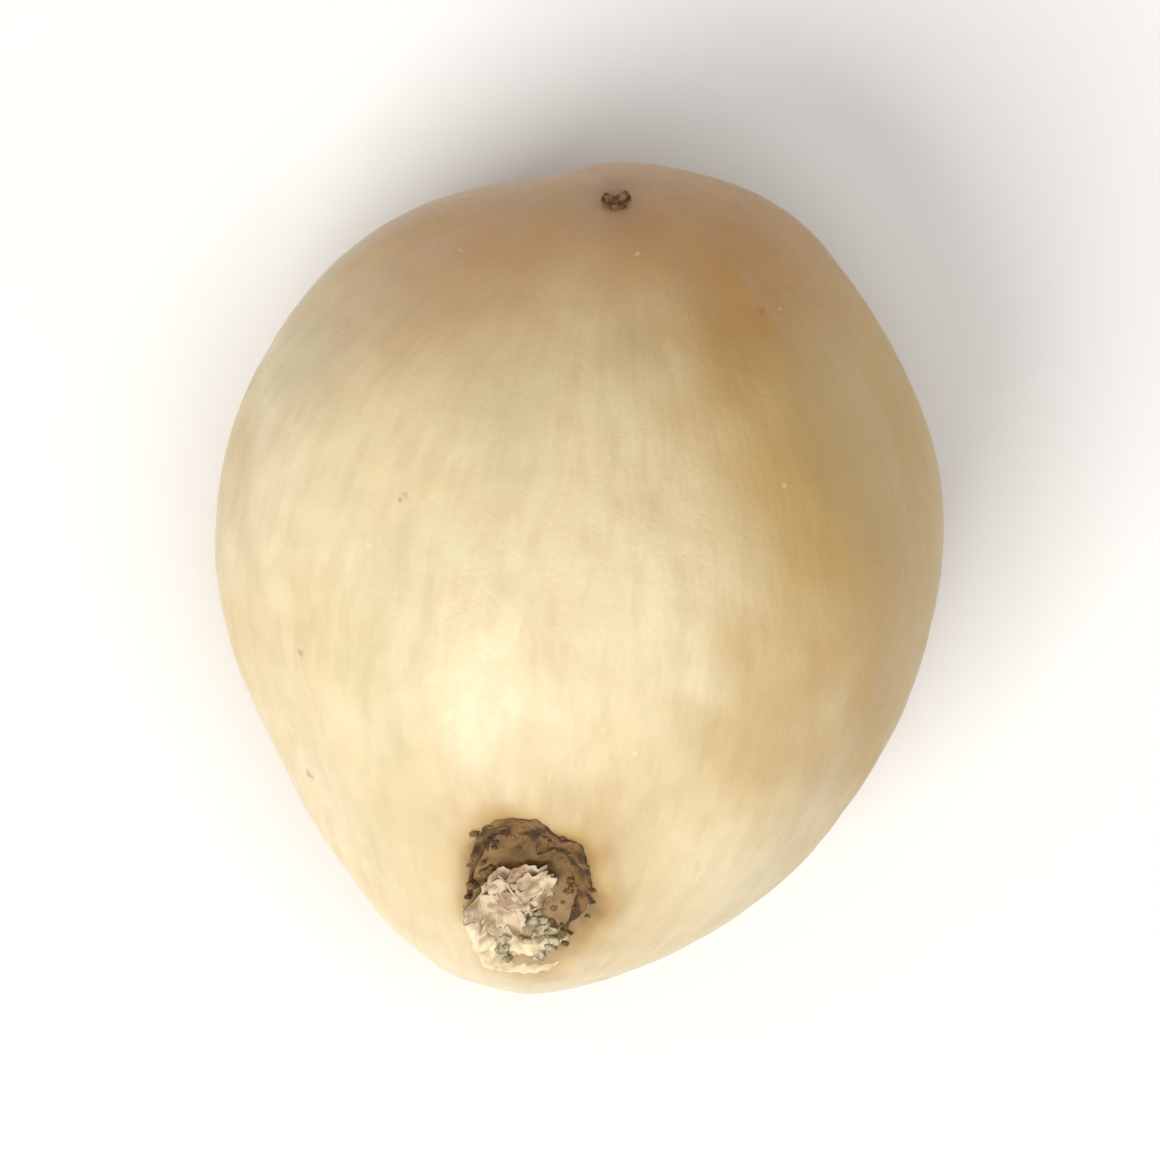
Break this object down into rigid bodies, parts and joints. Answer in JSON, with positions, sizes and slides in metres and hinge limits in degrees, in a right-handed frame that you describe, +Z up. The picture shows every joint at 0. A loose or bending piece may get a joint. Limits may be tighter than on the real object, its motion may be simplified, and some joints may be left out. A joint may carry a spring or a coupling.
{
  "type": "sorghum grain",
  "caption": "Whole threshed cream sorghum grain: a flattened ovoid lying on its germ side, with a round dark hilum near its base tip.",
  "frame": {"origin": "on the surface the grain lies on, under the middle of its box", "axes": "+Y along the grain from base tip to crown, +Z up out of the hilum side, +X across"},
  "size_m": [0.0042, 0.0046, 0.0031],
  "materials": {
    "seed_coat": "smooth satin cream seed coat, tan towards the crown",
    "hilum_tissue": "matt dark brown",
    "papery_scar": "matt, torn and fibrous"
  },
  "bodies": {
    "root": {"sorghum_grain": "seed_coat"}
  },
  "joints": []
}
